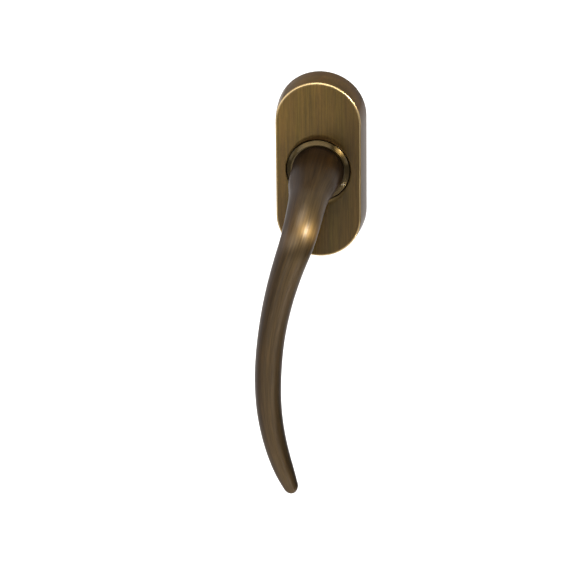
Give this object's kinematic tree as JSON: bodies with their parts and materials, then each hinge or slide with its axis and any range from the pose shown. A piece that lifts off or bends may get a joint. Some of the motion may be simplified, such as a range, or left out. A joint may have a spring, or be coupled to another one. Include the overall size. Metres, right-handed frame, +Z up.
{
  "type": "tilt-and-turn window handle",
  "caption": "Crescent lever on an obround rose that turns a square spindle to lock, open or tilt a window; lift-off cover over the fixings.",
  "frame": {"origin": "on the spindle's axis, in the surface of the sash that the rose is screwed to", "axes": "+Z up, +X to the right as seen from the room, +Y into the sash along the spindle; the lever hangs down in the closed position"},
  "size_m": [0.0337, 0.0898, 0.1441],
  "materials": {
    "brushed_bronze": "antique bronze, brushed lengthwise under clear lacquer",
    "lever_bronze": "antique bronze, satin brushed along the lever under clear lacquer",
    "polished_brass": "turned and relieved to bright brass",
    "zinc_casting": "bare zinc die-casting, dull",
    "black_nylon": "moulded, fine spark texture",
    "white_nylon": "moulded, satin",
    "zinc_plated_steel": "bright zinc plate",
    "bearing_steel": "ground and polished",
    "spring_steel": "oiled spring steel"
  },
  "bodies": {
    "base": {"base_plate": "zinc_casting", "under_plate": "black_nylon", "lug_sleeve_upper": "white_nylon", "lug_sleeve_lower": "white_nylon", "neck_bush": "white_nylon", "neck_collar": "polished_brass", "fixing_screw_upper": "zinc_plated_steel", "fixing_screw_lower": "zinc_plated_steel", "cover_clip_left": "spring_steel", "cover_clip_right": "spring_steel", "detent_spring_upper": "spring_steel", "detent_spring_lower": "spring_steel"},
    "cover": {"rose_cover": "brushed_bronze"},
    "lever": {"lever_handle": "lever_bronze", "spindle": "zinc_plated_steel", "grub_screw": "zinc_plated_steel", "detent_cam": "zinc_plated_steel", "thrust_washer": "white_nylon", "wave_washer": "spring_steel", "retaining_ring": "spring_steel"},
    "upper_ball": {"detent_ball_upper": "bearing_steel"},
    "lower_ball": {"detent_ball_lower": "bearing_steel"}
  },
  "joints": [
    {"name": "lever_turn", "type": "hinge", "parent": "base", "child": "lever", "pos_m": [0, 0, 0], "axis": [0, 1, 0], "range_deg": [0, 180]},
    {"name": "cover_lift", "type": "slide", "parent": "base", "child": "cover", "axis": [0, -1, 0], "range_m": [0, 0.018]},
    {"name": "upper_ball_drop", "type": "slide", "parent": "base", "child": "upper_ball", "axis": [0, 0, -1], "range_m": [0, 0.00045], "stiffness_N_per_m": 400, "springref_m": 0.00045, "deforming": ["detent_spring_upper"]},
    {"name": "lower_ball_drop", "type": "slide", "parent": "base", "child": "lower_ball", "axis": [0, 0, 1], "range_m": [0, 0.00045], "stiffness_N_per_m": 400, "springref_m": 0.00045, "deforming": ["detent_spring_lower"]}
  ]
}
